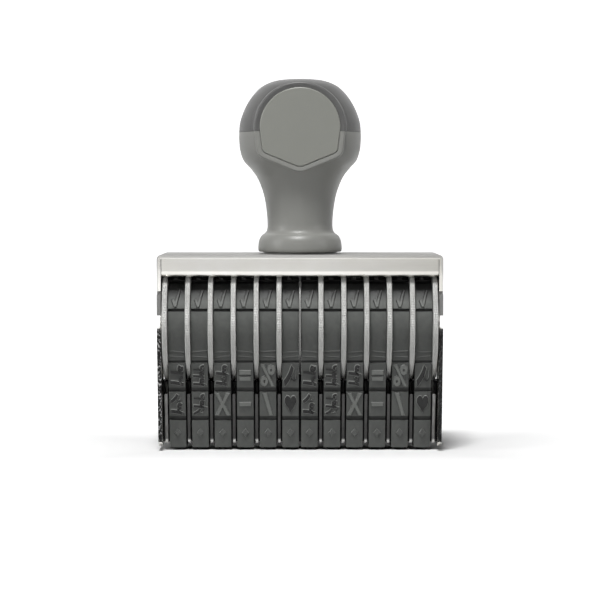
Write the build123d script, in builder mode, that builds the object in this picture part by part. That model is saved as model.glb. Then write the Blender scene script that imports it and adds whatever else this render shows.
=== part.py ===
"""Hand band numbering stamp: twelve rubber type bands side by side in a bent sheet frame, each set
by its own thumb disc, under a pear-shaped palm handle.

The origin is on the printing plane, below the middle of the axle. +X runs along the axle,
-Y is the front, where the discs are turned, and +Z is up. All lengths are in millimetres.
"""

from build123d import *
from math import asin, atan2, cos, degrees, hypot, radians, sin
import os

os.makedirs("parts", exist_ok=True)

# ---------------------------------------------------------------- driving dimensions
# Setting wheels: a steel thumb disc keyed on the hexagonal end of a moulded drum
wheel_count = 12
axle_height = 29.5
axle_radius = 1.4
axle_fit = 0.05
disc_radius = 13.9
disc_thickness = 1.15
disc_facet_count = 32
drum_radius = 10.4
drum_facet_count = 20
bore_facet_count = 12
hub_across_flats = 7.0
hub_fit = 0.02
drum_end_play = 0.1

# Thin steel washer that keeps the two middle drums apart
divider_radius = 12.6
divider_facet_count = 36
divider_thickness = 0.3

# Type bands: a rubber base with raised type blocks, and one plain stretch where its ends join
band_width = 3.8
band_side_play = 0.08
band_base = 0.8
band_gap = 0.2
type_height = 0.9
type_blocks = 13
plain_length = 11.6
plain_height = 0.4
groove_width = 0.9

# Platen: the tall bar that presses the bands on the paper and closes the view below the discs
platen_depth = 7.5
platen_height = 13.55
platen_corner_radius = 0.55
corner_facet_count = 12
platen_gap = 0.05
tenon_depth = 4.6
tenon_height = 3.2
tenon_fit = 0.03

# Separators: steel strips in cross slots of the platen, one below each disc
separator_thickness = 0.65
separator_foot = 1.6
separator_height = 11.3
separator_setback = 0.5
separator_chamfer = 0.5
lap_depth = 10.45
lap_fit = 0.03

# Frame: one sheet, bent down into two side plates and two flanges with a turned-in lip
sheet = 0.9
frame_top = 44.5
frame_depth = 24.0
frame_end_play = 0.29
bend_radius = 1.0
flange_height = 5.0
lip_bend_radius = 1.4
lip_length = 2.1
corner_gap = 0.15
plate_foot = 1.1
plate_foot_depth = 14.8
taper_height = 25.0
foot_chamfer = 1.0
notch_height = 36.05
notch_width = 0.7
notch_depth = 1.6
slot_fit = 0.05

# Palm handle, round about the Z axis; its heights are above the frame's top
foot_radius = 9.15
collar_radius = 9.55
collar_widest = 1.6
collar_shoulder_radius = 8.9
collar_shoulder = 4.0
neck_radius = 7.43
neck_foot = 5.5
neck_waist = 7.0
neck_middle_radius = 8.1
neck_middle = 12.4
flare_radius = 9.7
flare_height = 17.2
brim_radius = 12.55
brim_height = 20.7
palm_radius = 13.9
palm_height = 26.8
parting_height = 27.6
dome_radius = 9.7
dome_height = 37.1
crown_radius = 6.15
crown_height = 39.05
handle_height = 39.7
top_flat_radius = 2.5
grip_facet_count = 40
collar_step_count = 3
shoulder_step_count = 2
neck_step_count = 6
palm_step_count = 3
dome_step_count = 5
crown_step_count = 3
spigot_radius = 8.0
spigot_length = 3.0
spigot_fit = 0.05

# Shield-shaped badge plate in a raised bezel on the front of the handle
badge_half_width = 9.0
badge_arch_height = 28.3
badge_top = 37.35
badge_shoulder_half_width = 8.35
badge_shoulder_height = 22.9
badge_tip_height = 19.5
badge_shoulder_round = 1.4
badge_tip_round = 2.6
badge_face = 11.4
badge_thickness = 1.3
badge_fit = 0.05
bezel_width = 1.25
bezel_face = 11.3
bezel_root = 5.0

# Handle screw, its low head under the frame's top
screw_radius = 2.0
screw_length = 16.0
screw_fit = 0.02
screw_hole_fit = 0.1
head_radius = 3.2
head_height = 1.0
screw_slot_width = 0.8
screw_slot_depth = 0.4

# ---------------------------------------------------------------- sizes that follow
channel = band_width + 2 * band_side_play
pitch = channel + disc_thickness
half_count = wheel_count // 2
stack_half_length = divider_thickness / 2 + half_count * pitch
frame_inner_half_width = stack_half_length + frame_end_play
frame_half_width = frame_inner_half_width + sheet
frame_half_depth = frame_depth / 2
frame_underside = frame_top - sheet

band_thickness = band_base + type_height
band_inner_radius = drum_radius + band_gap
corner_radius = platen_corner_radius + platen_gap
corner_offset = platen_depth / 2 - platen_corner_radius
corner_height = band_thickness + corner_radius
platen_bottom = band_thickness + platen_gap
platen_top = platen_bottom + platen_height
tenon_middle = platen_bottom + platen_height / 2

# The band's two straight runs lean towards the platen: each touches the drum and the platen's corner
centre_rise = axle_height - corner_height
centre_distance = hypot(corner_offset, centre_rise)
lean = asin((band_inner_radius - corner_radius) / centre_distance)
tilt = lean - atan2(corner_offset, centre_rise)
run_length = (centre_distance**2 - (band_inner_radius - corner_radius) ** 2) ** 0.5

# Lengths along the middle of the band's base, from the middle of the platen to the top of the drum
neutral = band_base / 2
corner_end = corner_offset + (corner_radius + neutral) * (radians(90) - tilt)
run_end = corner_end + run_length
half_loop = run_end + (band_inner_radius + neutral) * (radians(90) + tilt)
type_pitch = (2 * half_loop - plain_length) / type_blocks
front_blocks = 3
plain_start = (front_blocks + 0.5) * type_pitch
plain_end = plain_start + plain_length


def band_station(distance):
    """Point on the middle of the band's base, and the direction out of the loop there, in degrees."""
    front = distance <= half_loop
    along = distance if front else 2 * half_loop - distance
    if along <= corner_offset:
        centre, radius, angle = (-along, corner_height), corner_radius + neutral, 270
    elif along <= corner_end:
        turned = (along - corner_offset) / (corner_radius + neutral)
        centre, radius = (-corner_offset, corner_height), corner_radius + neutral
        angle = 270 - degrees(turned)
    elif along <= run_end:
        share = (along - corner_end) / run_length
        centre = (-corner_offset * (1 - share), corner_height + share * centre_rise)
        radius = corner_radius + share * (band_inner_radius - corner_radius) + neutral
        angle = 180 + degrees(tilt)
    else:
        turned = (along - run_end) / (band_inner_radius + neutral)
        centre, radius = (0, axle_height), band_inner_radius + neutral
        angle = 180 + degrees(tilt - turned)
    y = centre[0] + radius * cos(radians(angle))
    z = centre[1] + radius * sin(radians(angle))
    return (y, z, angle) if front else (-y, z, 180 - angle)


def loop_area(growth):
    """Area inside the band's inner face, grown outward: a hull round the drum and two corners."""
    corner_turn = 180 / corner_facet_count
    with BuildSketch() as area:
        with Locations((0, axle_height)):
            RegularPolygon(band_inner_radius + growth, drum_facet_count, major_radius=False)
        with Locations((-corner_offset, corner_height), (corner_offset, corner_height)):
            RegularPolygon(
                corner_radius + growth, corner_facet_count, major_radius=False, rotation=corner_turn
            )
        make_hull()
    return area.sketch


def save(piece, name):
    """Label a finished piece and write it."""
    piece.part.label = name
    export_step(piece.part, f"parts/{name}.step")


# ---------------------------------------------------------------- frame
with BuildSketch() as side_view:
    with BuildLine():
        Polyline(
            (-frame_half_depth, frame_top),
            (-frame_half_depth, taper_height),
            (-plate_foot_depth / 2, plate_foot),
            (plate_foot_depth / 2, plate_foot),
            (frame_half_depth, taper_height),
            (frame_half_depth, frame_top),
            close=True,
        )
    make_face()
    fillet(side_view.vertices().group_by(Axis.Y)[-1], bend_radius)
    chamfer(side_view.vertices().group_by(Axis.Y)[0], foot_chamfer)

with BuildPart() as frame_shell:
    # Top and side plates, bent from one strip
    with BuildSketch(Plane.XZ):
        with BuildLine():
            FilletPolyline(
                (-frame_half_width + sheet / 2, plate_foot),
                (-frame_half_width + sheet / 2, frame_top - sheet / 2),
                (frame_half_width - sheet / 2, frame_top - sheet / 2),
                (frame_half_width - sheet / 2, plate_foot),
                radius=bend_radius - sheet / 2,
            )
        trace(line_width=sheet)
    extrude(amount=frame_half_depth, both=True)
    # Seen from the side the top corners are round and the plates taper down to the platen
    with BuildSketch(Plane.YZ):
        Rectangle(2 * frame_depth, 3 * frame_top)
        add(side_view.sketch, mode=Mode.SUBTRACT)
    extrude(amount=frame_half_width, both=True, mode=Mode.SUBTRACT)
    # Axle slots open to the front, tenon holes, and a small relief notch in each upright edge
    with BuildSketch(Plane.YZ):
        with Locations((0, axle_height)):
            Circle(axle_radius + slot_fit)
            Rectangle(frame_half_depth, 2 * (axle_radius + slot_fit), align=(Align.MAX, Align.CENTER))
        with Locations((0, tenon_middle)):
            Rectangle(tenon_depth + 2 * tenon_fit, tenon_height + 2 * tenon_fit)
        with Locations((-frame_half_depth, notch_height), (frame_half_depth, notch_height)):
            Rectangle(2 * notch_depth, notch_width)
    extrude(amount=frame_half_width, both=True, mode=Mode.SUBTRACT)
    # Front and back flanges, bent down between the side plates, with their lips turned in
    lip_end = frame_half_depth - lip_length
    flange_foot = frame_top - flange_height + sheet / 2
    with BuildSketch(Plane.YZ):
        with BuildLine():
            FilletPolyline(
                (-lip_end, flange_foot),
                (-frame_half_depth + sheet / 2, flange_foot),
                (-frame_half_depth + sheet / 2, frame_top - sheet / 2),
                (frame_half_depth - sheet / 2, frame_top - sheet / 2),
                (frame_half_depth - sheet / 2, flange_foot),
                (lip_end, flange_foot),
                radius=[
                    lip_bend_radius - sheet / 2,
                    bend_radius - sheet / 2,
                    bend_radius - sheet / 2,
                    lip_bend_radius - sheet / 2,
                ],
            )
        trace(line_width=sheet)
    extrude(amount=frame_inner_half_width - corner_gap, both=True)
    with Locations((0, 0, frame_top)):
        Hole(screw_radius + screw_hole_fit, depth=sheet)
save(frame_shell, "frame_shell")

# ---------------------------------------------------------------- axle and divider
with BuildPart() as axle:
    with BuildSketch(Plane.YZ):
        with Locations((0, axle_height)):
            Circle(axle_radius)
    extrude(amount=frame_half_width, both=True)
save(axle, "axle")

with BuildPart() as divider_washer:
    with BuildSketch(Plane.YZ):
        with Locations((0, axle_height)):
            RegularPolygon(divider_radius, divider_facet_count)
            bore_radius = axle_radius + axle_fit
            RegularPolygon(bore_radius, bore_facet_count, major_radius=False, mode=Mode.SUBTRACT)
    extrude(amount=divider_thickness / 2, both=True)
save(divider_washer, "divider_washer")

# ---------------------------------------------------------------- setting wheels
for number in range(1, wheel_count + 1):
    # Wheels left of the middle are turned round, so every disc is on the outer side of its band
    side = -1 if number <= half_count else 1
    place = half_count - number if side < 0 else number - half_count - 1
    channel_start = divider_thickness / 2 + place * pitch
    drum_start = channel_start + drum_end_play
    disc_start = channel_start + channel

    with BuildPart() as drum:
        with BuildSketch(Plane.YZ.offset(side * drum_start)):
            with Locations((0, axle_height)):
                RegularPolygon(drum_radius, drum_facet_count)
        extrude(amount=side * (disc_start - drum_start))
        with BuildSketch(Plane.YZ.offset(side * disc_start)):
            with Locations((0, axle_height)):
                RegularPolygon(hub_across_flats / 2, 6, major_radius=False)
        extrude(amount=side * disc_thickness)
        with BuildSketch(Plane.YZ.offset(side * drum_start)):
            with Locations((0, axle_height)):
                RegularPolygon(axle_radius + axle_fit, bore_facet_count, major_radius=False)
        extrude(amount=side * (disc_start - drum_start + disc_thickness), mode=Mode.SUBTRACT)
    save(drum, f"drum_{number:02d}")

    with BuildPart() as disc:
        with BuildSketch(Plane.YZ.offset(side * disc_start)):
            with Locations((0, axle_height)):
                RegularPolygon(disc_radius, disc_facet_count)
        extrude(amount=side * disc_thickness)
        with BuildSketch(Plane.YZ.offset(side * disc_start)):
            with Locations((0, axle_height)):
                RegularPolygon(hub_across_flats / 2 + hub_fit, 6, major_radius=False)
        extrude(amount=side * disc_thickness, mode=Mode.SUBTRACT)
    save(disc, f"disc_{number:02d}")

# ---------------------------------------------------------------- type bands
inner_area = loop_area(0)
plain_area = loop_area(band_base + plain_height)
groove_distances = [(block - 0.5) * type_pitch for block in range(1, front_blocks + 2)]
groove_distances += [plain_end + block * type_pitch for block in range(type_blocks - front_blocks)]

with BuildSketch() as band_profile:
    add(loop_area(band_thickness))
    # The plain stretch stands lower than the type
    with BuildSketch(mode=Mode.SUBTRACT):
        with BuildLine():
            corners = []
            for distance in (plain_start, plain_end):
                y, z, angle = band_station(distance)
                for reach in (-neutral, 3 * band_thickness):
                    corners.append((y + reach * cos(radians(angle)), z + reach * sin(radians(angle))))
            Polyline(corners[0], corners[1], corners[3], corners[2], close=True)
        make_face()
        add(plain_area, mode=Mode.SUBTRACT)
    # Grooves across the band between the type blocks
    for distance in groove_distances:
        y, z, angle = band_station(distance)
        reach = neutral + type_height
        middle = (y + reach * cos(radians(angle)), z + reach * sin(radians(angle)))
        with Locations(Location(middle, angle)):
            Rectangle(2 * type_height, groove_width, mode=Mode.SUBTRACT)
    add(inner_area, mode=Mode.SUBTRACT)

for number in range(1, wheel_count + 1):
    side = -1 if number <= half_count else 1
    place = half_count - number if side < 0 else number - half_count - 1
    band_middle = side * (divider_thickness / 2 + place * pitch + channel / 2)
    with BuildPart() as band:
        with BuildSketch(Plane.YZ.offset(band_middle)):
            add(band_profile.sketch)
        extrude(amount=band_width / 2, both=True)
    save(band, f"band_{number:02d}")

# ---------------------------------------------------------------- platen
separator_places = [
    side * (divider_thickness / 2 + place * pitch + channel + disc_thickness / 2)
    for side in (-1, 1)
    for place in range(half_count)
]
separator_places.sort()

with BuildPart() as platen:
    with BuildSketch(Plane.YZ) as bar:
        with Locations((0, platen_bottom)):
            Rectangle(platen_depth, platen_height, align=(Align.CENTER, Align.MIN))
        fillet(bar.vertices().group_by(Axis.Y)[0], platen_corner_radius)
    extrude(amount=frame_inner_half_width, both=True)
    # Tenons, riveted flush in the side plates
    with BuildSketch(Plane.YZ):
        with Locations((0, tenon_middle)):
            Rectangle(tenon_depth, tenon_height)
    extrude(amount=frame_half_width, both=True)
    # Cross slots for the separators' tongues
    with BuildSketch(Plane.XY.offset(platen_top)):
        with Locations(*[(x, 0) for x in separator_places]):
            Rectangle(separator_thickness + 2 * lap_fit, platen_depth)
    extrude(amount=-lap_depth, mode=Mode.SUBTRACT)
save(platen, "platen")

# ---------------------------------------------------------------- separators
separator_growth = band_thickness - separator_setback
foot_half_depth = corner_offset + corner_radius + separator_growth - separator_chamfer
separator_top = separator_foot + separator_height
lap_floor = platen_top - lap_depth + lap_fit

with BuildSketch() as separator_profile:
    add(loop_area(separator_growth))
    # Cut to height, with the feet bevelled front and back
    with BuildSketch(mode=Mode.INTERSECT):
        with BuildLine():
            Polyline(
                (-foot_half_depth, separator_foot),
                (foot_half_depth, separator_foot),
                (foot_half_depth + separator_height, separator_top),
                (-foot_half_depth - separator_height, separator_top),
                close=True,
            )
        make_face()
    # The strip straddles the platen, and its tongue fills the cross slot up to the platen's top
    with Locations((0, lap_floor)):
        Rectangle(platen_depth, platen_top - lap_floor, align=(Align.CENTER, Align.MIN))
    Rectangle(platen_depth + 2 * lap_fit, 2 * lap_floor, mode=Mode.SUBTRACT)

for number, x in enumerate(separator_places, start=1):
    with BuildPart() as separator:
        with BuildSketch(Plane.YZ.offset(x)):
            add(separator_profile.sketch)
        extrude(amount=separator_thickness / 2, both=True)
    save(separator, f"separator_{number:02d}")


# ---------------------------------------------------------------- handle
def badge_outline(growth):
    """The shield seen from the front: an arch over two straight sides that meet in a blunt tip."""
    with BuildSketch() as shield:
        with BuildLine():
            arch_foot = (badge_half_width, frame_top + badge_arch_height)
            Polyline(
                (-arch_foot[0], arch_foot[1]),
                (-badge_shoulder_half_width, frame_top + badge_shoulder_height),
                (0, frame_top + badge_tip_height),
                (badge_shoulder_half_width, frame_top + badge_shoulder_height),
                arch_foot,
            )
            ThreePointArc(arch_foot, (0, frame_top + badge_top), (-arch_foot[0], arch_foot[1]))
        make_face()
        fillet(shield.vertices().group_by(Axis.Y)[1], badge_shoulder_round)
        fillet(shield.vertices().group_by(Axis.Y)[0], badge_tip_round)
        if growth:
            offset(amount=growth, mode=Mode.REPLACE)
    return shield.sketch


def flat_sided(outline, facet_count):
    """A round form about the Z axis, made of a ring of flats for each step of its outline."""
    rings = []
    for knot in outline:
        corner = Vector(knot.X / cos(radians(180 / facet_count)), 0, knot.Y)
        turns = [(flat + 0.5) * 360 / facet_count for flat in range(facet_count)]
        rings.append([corner.rotate(Axis.Z, turn) for turn in turns])
    faces = [Face(Wire.make_polygon(ring)) for ring in (rings[0], rings[-1])]
    for low, high in zip(rings, rings[1:]):
        for flat in range(facet_count):
            beside = (flat + 1) % facet_count
            corners = [low[flat], low[beside], high[beside], high[flat]]
            faces.append(Face(Wire.make_polygon(corners)))
    return Solid(Shell(faces))


# The outline from the foot to the top: smooth curves, each followed in short straight steps
with BuildLine(mode=Mode.PRIVATE) as outline:
    collar = ThreePointArc(
        (foot_radius, frame_top),
        (collar_radius, frame_top + collar_widest),
        (collar_shoulder_radius, frame_top + collar_shoulder),
    )
    shoulder = TangentArc(collar @ 1, (neck_radius, frame_top + neck_foot), tangent=collar % 1)
    neck = Spline(
        shoulder @ 1,
        (neck_radius, frame_top + neck_waist),
        (neck_middle_radius, frame_top + neck_middle),
        (flare_radius, frame_top + flare_height),
        (brim_radius, frame_top + brim_height),
    )
    widest = (palm_radius, frame_top + palm_height)
    palm = TangentArc(widest, neck @ 1, tangent=(0, -1))
    dome = TangentArc(widest, (dome_radius, frame_top + dome_height), tangent=(0, 1))
    crown = TangentArc(dome @ 1, (crown_radius, frame_top + crown_height), tangent=dome % 1)
steps = [(collar, collar_step_count), (shoulder, shoulder_step_count), (neck, neck_step_count)]
knots = [curve @ (step / count) for curve, count in steps for step in range(count)]
knots += [palm @ (1 - step / palm_step_count) for step in range(palm_step_count)]
knots += [dome @ (step / dome_step_count) for step in range(dome_step_count)]
knots += [crown @ (step / crown_step_count) for step in range(crown_step_count + 1)]

knots.append(Vector(top_flat_radius, frame_top + handle_height))

with BuildPart() as grip:
    add(flat_sided(knots, grip_facet_count))
    # Raised bezel, with the palm's bulge cut away flat inside it, and the badge's pocket
    with BuildSketch(Plane.XZ.offset(bezel_face)):
        add(badge_outline(bezel_width))
    extrude(amount=palm_radius, mode=Mode.SUBTRACT)
    with BuildSketch(Plane.XZ.offset(bezel_root)):
        add(badge_outline(bezel_width))
    extrude(amount=bezel_face - bezel_root)
    with BuildSketch(Plane.XZ.offset(badge_face - badge_thickness)):
        add(badge_outline(badge_fit))
    extrude(amount=badge_thickness, mode=Mode.SUBTRACT)

parting_plane = Plane.XY.offset(frame_top + parting_height)

with BuildPart() as handle_body:
    add(grip.part)
    split(bisect_by=parting_plane, keep=Keep.BOTTOM)
    with BuildSketch(parting_plane):
        Circle(spigot_radius)
    extrude(amount=spigot_length)
    with BuildSketch(Plane.XY.offset(frame_top)):
        Circle(screw_radius + screw_fit)
    extrude(amount=screw_length, mode=Mode.SUBTRACT)
save(handle_body, "handle_body")

with BuildPart() as handle_cap:
    add(grip.part)
    split(bisect_by=parting_plane, keep=Keep.TOP)
    with BuildSketch(parting_plane):
        Circle(spigot_radius + spigot_fit)
    extrude(amount=spigot_length + spigot_fit, mode=Mode.SUBTRACT)
save(handle_cap, "handle_cap")

with BuildPart() as handle_badge:
    with BuildSketch(Plane.XZ.offset(badge_face - badge_thickness)):
        add(badge_outline(0))
    extrude(amount=badge_thickness)
save(handle_badge, "handle_badge")

with BuildPart() as handle_screw:
    with BuildSketch(Plane.XY.offset(frame_underside)):
        Circle(head_radius)
    extrude(amount=-head_height)
    with BuildSketch(Plane.XY.offset(frame_underside)):
        Circle(screw_radius)
    extrude(amount=sheet + screw_length - screw_hole_fit)
    with BuildSketch(Plane.XY.offset(frame_underside - head_height)):
        Rectangle(2 * head_radius, screw_slot_width)
    extrude(amount=screw_slot_depth, mode=Mode.SUBTRACT)
save(handle_screw, "handle_screw")
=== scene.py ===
"""Hand band numbering stamp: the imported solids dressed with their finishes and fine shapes.

The sections follow the stamp as it is put together. Sizes are in millimetres and are turned into
metres where a mesh is made. +X runs along the axle, -Y is the front and +Z is up.
"""

from math import asin, atan2, ceil, cos, hypot, pi, radians, sin

import bmesh
import bpy
from mathutils import Matrix, Vector


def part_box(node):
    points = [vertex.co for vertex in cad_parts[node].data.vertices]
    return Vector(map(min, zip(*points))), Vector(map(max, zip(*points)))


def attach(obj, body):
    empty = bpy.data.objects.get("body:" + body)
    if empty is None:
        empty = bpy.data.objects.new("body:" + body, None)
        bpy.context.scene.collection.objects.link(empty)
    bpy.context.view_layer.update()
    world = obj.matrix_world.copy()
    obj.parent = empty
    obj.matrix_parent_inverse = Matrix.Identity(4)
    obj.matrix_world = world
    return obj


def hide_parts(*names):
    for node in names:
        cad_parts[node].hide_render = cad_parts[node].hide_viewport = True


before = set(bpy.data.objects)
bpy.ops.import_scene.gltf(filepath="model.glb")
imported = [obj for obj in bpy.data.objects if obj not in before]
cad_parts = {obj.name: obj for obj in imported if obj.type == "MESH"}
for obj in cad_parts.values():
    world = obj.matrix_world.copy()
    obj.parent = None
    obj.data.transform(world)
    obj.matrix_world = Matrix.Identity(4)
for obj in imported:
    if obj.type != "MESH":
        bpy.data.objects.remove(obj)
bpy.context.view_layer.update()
mm = 0.001

# ------------------------------------------------------------------------------------ frame
# The frame is one strip of 0.9 mm steel, bent down into two side plates and two flanges whose lips
# turn in. It is bright plated and keeps the faint lines of the rolled strip. Only the side plates'
# upright edges are left as the shear tore them.


class Tone:
    """A number, colour or place on its way through a net of nodes, so that sums are written as sums."""

    def __init__(self, net, socket):
        self.net, self.socket = net, socket

    def sum(self, operation, first, second):
        return self.net.node("ShaderNodeMath", {"operation": operation}, {0: first, 1: second})

    def __add__(self, other):
        return self.sum("ADD", self, other)

    def __sub__(self, other):
        return self.sum("SUBTRACT", self, other)

    def __rsub__(self, other):
        return self.sum("SUBTRACT", other, self)

    def __mul__(self, other):
        return self.sum("MULTIPLY", self, other)

    def __truediv__(self, other):
        return self.sum("DIVIDE", self, other)

    def __rtruediv__(self, other):
        return self.sum("DIVIDE", other, self)

    def __mod__(self, other):
        return self.sum("FLOORED_MODULO", self, other)

    def __gt__(self, other):
        return self.sum("GREATER_THAN", self, other)

    def __lt__(self, other):
        return self.sum("LESS_THAN", self, other)

    def __abs__(self):
        return self.sum("ABSOLUTE", self, 0.0)

    __radd__ = __add__
    __rmul__ = __mul__

    def or_larger(self, other):
        return self.sum("MAXIMUM", self, other)

    def beside(self, output):
        """Another output of the node that this one comes from."""
        return Tone(self.net, self.socket.node.outputs[output])


class Net:
    """A net of nodes: the finish of a surface, or a jig that makes a shape."""

    def __init__(self, tree):
        self.tree = tree

    def plug(self, socket, value):
        if isinstance(value, Tone):
            self.tree.links.new(value.socket, socket)
        else:
            socket.default_value = value

    def node(self, kind, settings, sockets, output=0):
        """A node of any kind, with its settings first and then the values or links of its sockets."""
        made = self.tree.nodes.new(kind)
        for setting, value in settings.items():
            if setting == "stops":
                ramp = made.color_ramp.elements
                for place, (position, shade) in enumerate(value):
                    stop = ramp[place] if place < 2 else ramp.new(position)
                    stop.position, stop.color = position, (shade, shade, shade, 1)
            else:
                setattr(made, setting, value)
        for socket, value in sockets.items():
            for each in value if isinstance(value, list) else [value]:
                self.plug(made.inputs[socket], each)
        return Tone(self, made.outputs[output])

    def rising(self, tone, low, high, start=0.0, end=1.0):
        """From start to end, as a value goes from low to high."""
        return self.node("ShaderNodeMapRange", {}, {0: tone, 1: low, 2: high, 3: start, 4: end})


class Finish(Net):
    """One finish, of a surface or of the sky: its plain values, and what varies over it."""

    def __init__(self, name, plain, sky=None):
        self.material = sky or bpy.data.materials.new(name)
        self.material.use_nodes = True
        super().__init__(self.material.node_tree)
        self.surface = self.tree.nodes["Background" if sky else "Principled BSDF"]
        for socket, value in plain.items():
            self.surface.inputs[socket].default_value = value

    def place(self, axis, coordinates="Object"):
        """How far along X, Y or Z, in metres."""
        place = self.node("ShaderNodeTexCoord", {}, {}, coordinates)
        return self.node("ShaderNodeSeparateXYZ", {}, {0: place}, axis)

    def height(self, low, high):
        """0 to 1 between two heights in millimetres."""
        return self.rising(self.place("Z"), low * mm, high * mm)

    def grain(self, size, stretch=(1, 1, 1), detail=4):
        """Noise of a grain size in millimetres, drawn out along the axes by the stretch."""
        place = self.node("ShaderNodeTexCoord", {}, {}, "Object")
        scale = tuple(1 / (mm * size * along) for along in stretch)
        place = self.node("ShaderNodeMapping", {}, {"Vector": place, "Scale": scale})
        noise = {"Vector": place, "Scale": 1, "Detail": detail, "Roughness": 0.55}
        return self.node("ShaderNodeTexNoise", {}, noise)

    def ramp(self, tone, *stops):
        """A brightness that follows stops, each a place from 0 to 1 and a brightness."""
        return self.node("ShaderNodeValToRGB", {"stops": stops}, {0: tone})

    def marked(self, name):
        """How much a face bears a mark that its mesh carries."""
        return self.node("ShaderNodeAttribute", {"attribute_name": name}, {}, "Fac")

    def shown(self):
        """1 where the camera or a reflection looks, 0 for the light that a surface throws back."""
        camera = self.node("ShaderNodeLightPath", {}, {}, "Is Camera Ray")
        looks = camera + camera.beside("Is Glossy Ray") + camera.beside("Is Transmission Ray")
        return self.node("ShaderNodeClamp", {}, {"Value": looks}) * (camera.beside("Diffuse Depth") < 0.5)

    def between(self, share, first, second):
        """A colour between two."""
        first, second = ((*c, 1) if isinstance(c, tuple) else c for c in (first, second))
        return self.node("ShaderNodeMix", {"data_type": "RGBA"}, {0: share, 6: first, 7: second}, 2)

    def varied(self, **tones):
        """Drives the surface's colour, roughness or metal, and its relief, with a depth in millimetres."""
        relief, depth = tones.pop("relief", None), tones.pop("depth", 0.01)
        for name, tone in tones.items():
            self.plug(self.surface.inputs[name.replace("_", " ").title()], tone)
        if relief:
            bumps = {"Height": relief, "Distance": depth * mm, "Strength": 1.0}
            self.plug(self.surface.inputs["Normal"], self.node("ShaderNodeBump", {}, bumps, "Normal"))
        return self


def linked(name, data):
    """An object in the scene."""
    made = bpy.data.objects.new(name, data)
    bpy.context.scene.collection.objects.link(made)
    return made


def mesh_of(skin, name):
    """Turns a skin that was worked on into a mesh, and frees the skin."""
    mesh = bpy.data.meshes.new(name)
    skin.to_mesh(mesh)
    skin.free()
    return mesh


def as_mesh(carrier, smooth_angle=35):
    """What an object's modifiers make of it, as a plain mesh. The carrier is taken away."""
    bpy.context.view_layer.update()
    mesh = bpy.data.meshes.new_from_object(carrier.evaluated_get(bpy.context.evaluated_depsgraph_get()))
    bpy.data.objects.remove(carrier)
    mesh.shade_smooth()
    mesh.set_sharp_from_angle(angle=radians(smooth_angle))
    return mesh


def softened(node, radius, rounds=2):
    """A copy of a solid's skin with its seams closed and its edges rounded."""
    skin = bmesh.new()
    skin.from_mesh(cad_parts[node].data)
    bmesh.ops.remove_doubles(skin, verts=skin.verts, dist=0.001 * mm)
    bmesh.ops.dissolve_limit(skin, angle_limit=radians(0.5), verts=skin.verts, edges=skin.edges)
    carrier = linked(node + "_blank", mesh_of(skin, node))
    edge = carrier.modifiers.new("edge", "BEVEL")
    edge.width, edge.segments = radius * mm, rounds
    edge.limit_method, edge.angle_limit = "ANGLE", radians(35)
    return as_mesh(carrier)


def laid(name, mesh, finish, body, node):
    """Puts a finished mesh in the scene as a piece that rides on a body and stands for a solid."""
    piece = linked(name, mesh)
    mesh.materials.clear()
    mesh.materials.append(finish.material)
    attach(piece, body)
    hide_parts(node)


side_plate_inside, side_plate_outside, bend_foot = 31.0, 31.9, 43.3
top_bend_foot, top_bend_end = 43.6, 44.3

plate = Finish("plated_sheet", {"Metallic": 1.0})
across = plate.place("X")
rolled = plate.grain(0.5, (60, 1, 1), detail=5)
handled = plate.ramp(plate.grain(7, detail=3), (0.35, 0), (0.75, 1))
# Painted shade: the plating darkens and yellows from the middle towards the right end
painted_right_shade = plate.rising(across, 4 * mm, 34 * mm)
side_face = plate.rising(abs(across), (side_plate_outside - 0.35) * mm, side_plate_outside * mm)
# Painted reflection: the top face and the top of its bends are darker. They are rougher too
top_face = plate.height(top_bend_foot, top_bend_end)
sheet_tone = plate.between(handled, (0.83, 0.82, 0.79), (0.77, 0.755, 0.71))
sheet_tone = plate.between(painted_right_shade, sheet_tone, (0.66, 0.645, 0.6))
sheet_tone = plate.between(side_face, sheet_tone, (0.6, 0.595, 0.58))
sheet_tone = plate.between(top_face, sheet_tone, (0.4, 0.395, 0.385))

# The tear is coarse below the axle's slot, grey from there up and bright right below the bend
sheared = plate.marked("sheared")
torn = plate.ramp(plate.grain(0.4, (1, 1, 1.5)), (0.52, 0), (0.62, 1))
burr_tone = plate.between(across > 0, (0.4, 0.4, 0.4), (0.08, 0.08, 0.08))
edge_tone = plate.between(torn, (0.02, 0.02, 0.02), burr_tone)
edge_tone = plate.between(plate.height(27, 30), edge_tone, (0.24, 0.24, 0.235))
edge_tone = plate.between(plate.height(38.5, 39.5), edge_tone, (0.5, 0.5, 0.49))
plate.varied(
    base_color=plate.between(sheared, sheet_tone, edge_tone),
    roughness=0.14 + rolled * 0.08 + handled * 0.06 + sheared * 0.3 + top_face * 0.4,
    relief=rolled + plate.grain(0.12, (8, 1, 1)) * 0.3 + sheared * torn * 4,
    depth=0.004,
)

plated = softened("frame_shell", 0.12)
mark = plated.attributes.new("sheared", "FLOAT", "FACE")
for face in plated.polygons:
    upright = abs(face.normal.y) > 0.35 and abs(face.normal.z) < 0.6
    on_side_plate = abs(face.center.x) > side_plate_inside * mm and face.center.z < bend_foot * mm
    mark.data[face.index].value = float(upright and on_side_plate)
laid("frame_plated", plated, plate, "stamp", "frame_shell")

# ------------------------------------------------------------------------------------ axle
# The axle is a turned steel pin. It lies in the two open slots of the side plates, its ends cut
# flush with them, and carries every drum. The thin washer in the middle is punched from dull strip
# and keeps the two inner drums apart.

turned_steel = Finish("turned_steel", {"Metallic": 1.0})
tool_rings = turned_steel.grain(0.08, (1, 40, 40), detail=2)
turned_steel.varied(
    base_color=turned_steel.between(turned_steel.grain(3), (0.74, 0.73, 0.71), (0.64, 0.635, 0.62)),
    roughness=0.22 + tool_rings * 0.14,
    relief=tool_rings,
    depth=0.004,
)


def finished(node, finish):
    """Gives a solid whose shape is right its real finish."""
    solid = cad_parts[node]
    solid.data.materials.clear()
    solid.data.materials.append(finish.material)


finished("axle", turned_steel)

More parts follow.
